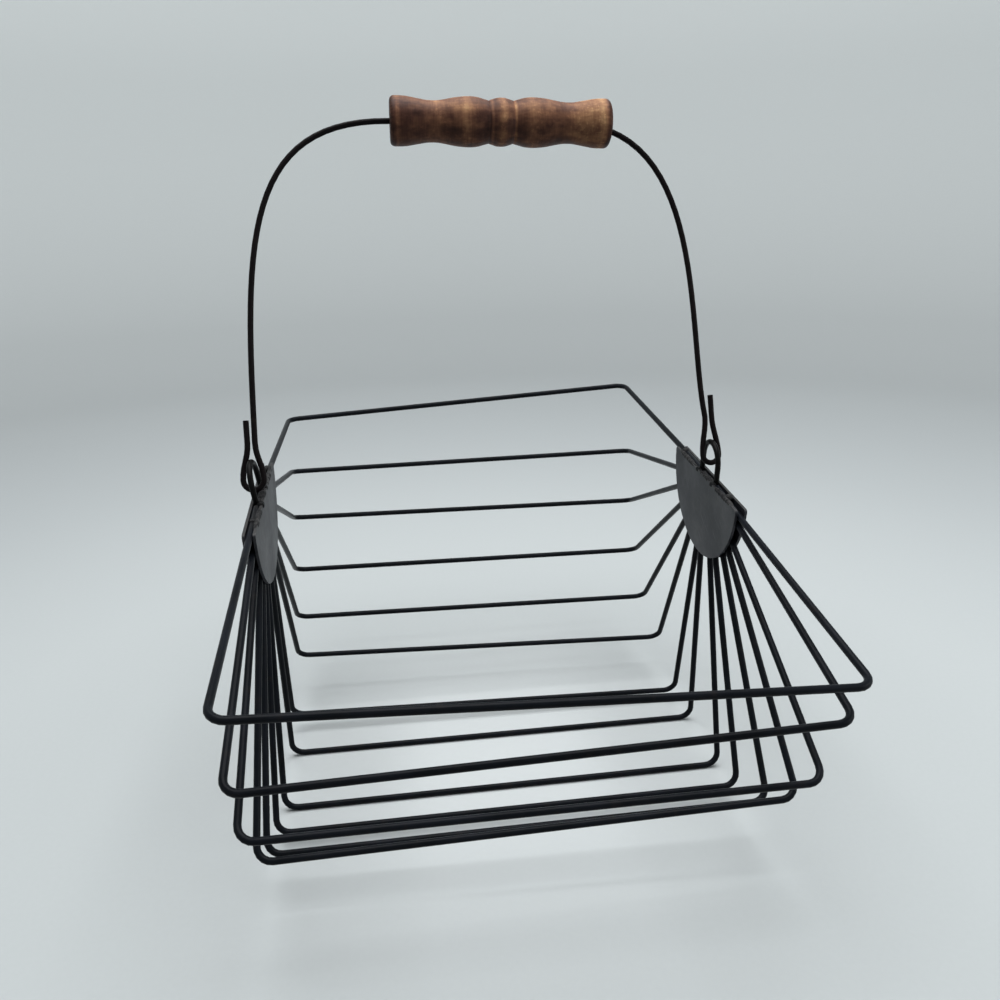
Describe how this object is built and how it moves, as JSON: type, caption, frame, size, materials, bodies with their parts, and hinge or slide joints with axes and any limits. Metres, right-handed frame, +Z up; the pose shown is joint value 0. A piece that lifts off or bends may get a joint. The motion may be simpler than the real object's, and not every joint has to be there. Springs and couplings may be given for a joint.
{
  "type": "wire egg basket",
  "caption": "Wire egg basket: bent wire ribs fan between pairs of half-round end plates, under a swinging wire bail with a turned wooden grip.",
  "frame": {"origin": "on the floor, under the centre of the basket's box, with the basket standing on its two lowest ribs", "axes": "+X to the right along the ribs, +Y to the back, +Z up"},
  "size_m": [0.2311, 0.3096, 0.3313],
  "materials": {
    "black_wire": "satin black paint on steel wire, worn at the joins",
    "black_sheet": "black paint on sheet steel, worn along the straight edges",
    "stained_wood": "turned hardwood, brown stain worn on the raised rings"
  },
  "bodies": {
    "basket": {"rib_01_back_rim": "black_wire", "rib_02": "black_wire", "rib_03": "black_wire", "rib_04": "black_wire", "rib_05": "black_wire", "rib_06": "black_wire", "rib_07": "black_wire", "rib_08": "black_wire", "rib_09": "black_wire", "rib_10": "black_wire", "rib_11": "black_wire", "rib_12": "black_wire", "rib_13": "black_wire", "rib_14": "black_wire", "rib_15_front_rim": "black_wire", "plate_left_inner": "black_sheet", "plate_left_outer": "black_sheet", "plate_right_inner": "black_sheet", "plate_right_outer": "black_sheet", "ear_left": "black_wire", "ear_right": "black_wire"},
    "bail": {"bail": "black_wire"},
    "grip": {"grip": "stained_wood"}
  },
  "joints": [
    {"name": "bail_swing", "type": "hinge", "parent": "basket", "child": "bail", "pos_m": [0.00086, 0.00128, 0.15921], "axis": [1, 0, 0], "range_deg": [-64, 114]},
    {"name": "grip_spin", "type": "hinge", "parent": "bail", "child": "grip", "pos_m": [0.01676, 0.05319, 0.31897], "axis": [0.9997, -0.0081, -0.0249], "continuous": true}
  ]
}
